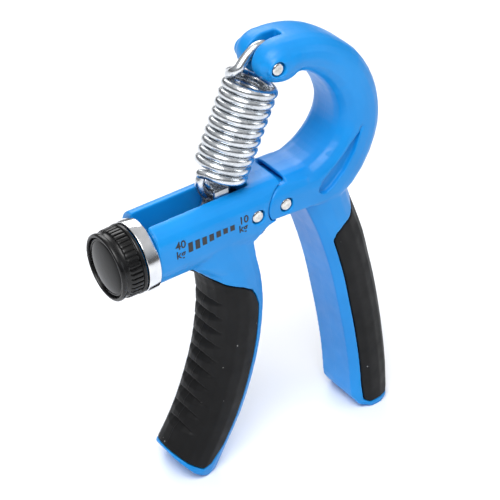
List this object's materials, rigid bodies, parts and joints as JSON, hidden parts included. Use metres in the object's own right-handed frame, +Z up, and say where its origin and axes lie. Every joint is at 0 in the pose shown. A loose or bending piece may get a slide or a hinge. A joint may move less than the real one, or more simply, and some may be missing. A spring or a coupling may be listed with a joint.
{
  "type": "hand grip strengthener",
  "caption": "Adjustable hand grip strengthener with hinged handles, rubber grips, extension spring and a knob that sets the resistance.",
  "frame": {"origin": "on the surface that the two handle ends stand on, at the middle of the object's box", "axes": "+X from the knob towards the rear handle, +Y away from the printed side of the barrel, +Z up along the handles"},
  "size_m": [0.1015, 0.022, 0.1391],
  "materials": {
    "front_handle": "satin bright blue moulded plastic",
    "rear_handle": "satin bright blue moulded plastic",
    "front_grip": "matte black soft-touch rubber with finger grooves",
    "rear_grip": "matte black soft-touch rubber",
    "pivot_pin": "turned steel pin",
    "barrel_pin": "turned steel pin",
    "spring_pin": "turned steel pin",
    "collar_ring": "polished metal sleeve",
    "knob_body": "semi-gloss black moulded plastic, ribbed band",
    "knob_cap": "gloss black plastic",
    "adjusting_screw": "threaded steel rod",
    "knob_nut": "zinc-plated steel nut",
    "end_block": "plain steel block",
    "carriage": "bright zinc-plated steel",
    "spring": "bright zinc-plated spring wire"
  },
  "bodies": {
    "rear": {"rear_handle": "rear_handle", "rear_grip": "rear_grip", "pivot_pin": "pivot_pin"},
    "front": {"front_handle": "front_handle", "front_grip": "front_grip", "barrel_pin": "barrel_pin", "collar_ring": "collar_ring", "end_block": "end_block"},
    "knob": {"knob_body": "knob_body", "knob_cap": "knob_cap", "adjusting_screw": "adjusting_screw", "knob_nut": "knob_nut"},
    "carriage": {"carriage": "carriage"},
    "spring_eye": {"spring_pin": "spring_pin"},
    "spring_top": {"spring_upper": "spring"},
    "spring_mid": {"spring_middle": "spring"},
    "spring_tail": {"spring_lower": "spring"}
  },
  "joints": [
    {"name": "squeeze", "type": "hinge", "parent": "rear", "child": "front", "pos_m": [0.00578, 0, 0.0882], "axis": [0, -1, 0], "range_deg": [0, 30], "stiffness_Nm_per_rad": 8, "springref_deg": -22.92},
    {"name": "knob_turn", "type": "hinge", "parent": "front", "child": "knob", "pos_m": [-0.03753, 0, 0.08237], "axis": [0.9978, 0, 0.0663], "range_deg": [-5400, 360]},
    {"name": "carriage_slide", "type": "slide", "parent": "front", "child": "carriage", "axis": [0.9978, 0, 0.0663], "range_m": [-0.01502, 0.00102]},
    {"name": "spring_swing", "type": "hinge", "parent": "rear", "child": "spring_eye", "pos_m": [0.00313, 0, 0.1326], "axis": [0, 1, 0], "range_deg": [-4.2, 0]},
    {"name": "spring_lean", "type": "hinge", "parent": "spring_eye", "child": "spring_top", "pos_m": [0.00313, 0, 0.1326], "axis": [0, 1, 0], "range_deg": [-1.1, 15.5], "deforming": ["spring_upper"]},
    {"name": "spring_stretch", "type": "slide", "parent": "spring_top", "child": "spring_mid", "axis": [-0.3971, 0, -0.9178], "range_m": [0, 0.01], "deforming": ["spring_middle"]},
    {"name": "spring_draw", "type": "slide", "parent": "spring_mid", "child": "spring_tail", "axis": [-0.3971, 0, -0.9178], "range_m": [-0.0006, 0.00871], "deforming": ["spring_lower"]}
  ],
  "couplings": [
    {"joint": "carriage_slide", "follows": "knob_turn", "m_per_rad": 0.00015915},
    {"joint": "spring_swing", "follows": "squeeze", "ratio": -0.13533},
    {"joint": "spring_lean", "follows": "knob_turn", "ratio": -0.0028519},
    {"joint": "spring_stretch", "follows": "squeeze", "m_per_rad": 0.018908},
    {"joint": "spring_draw", "follows": "knob_turn", "m_per_rad": -0.000091885}
  ]
}
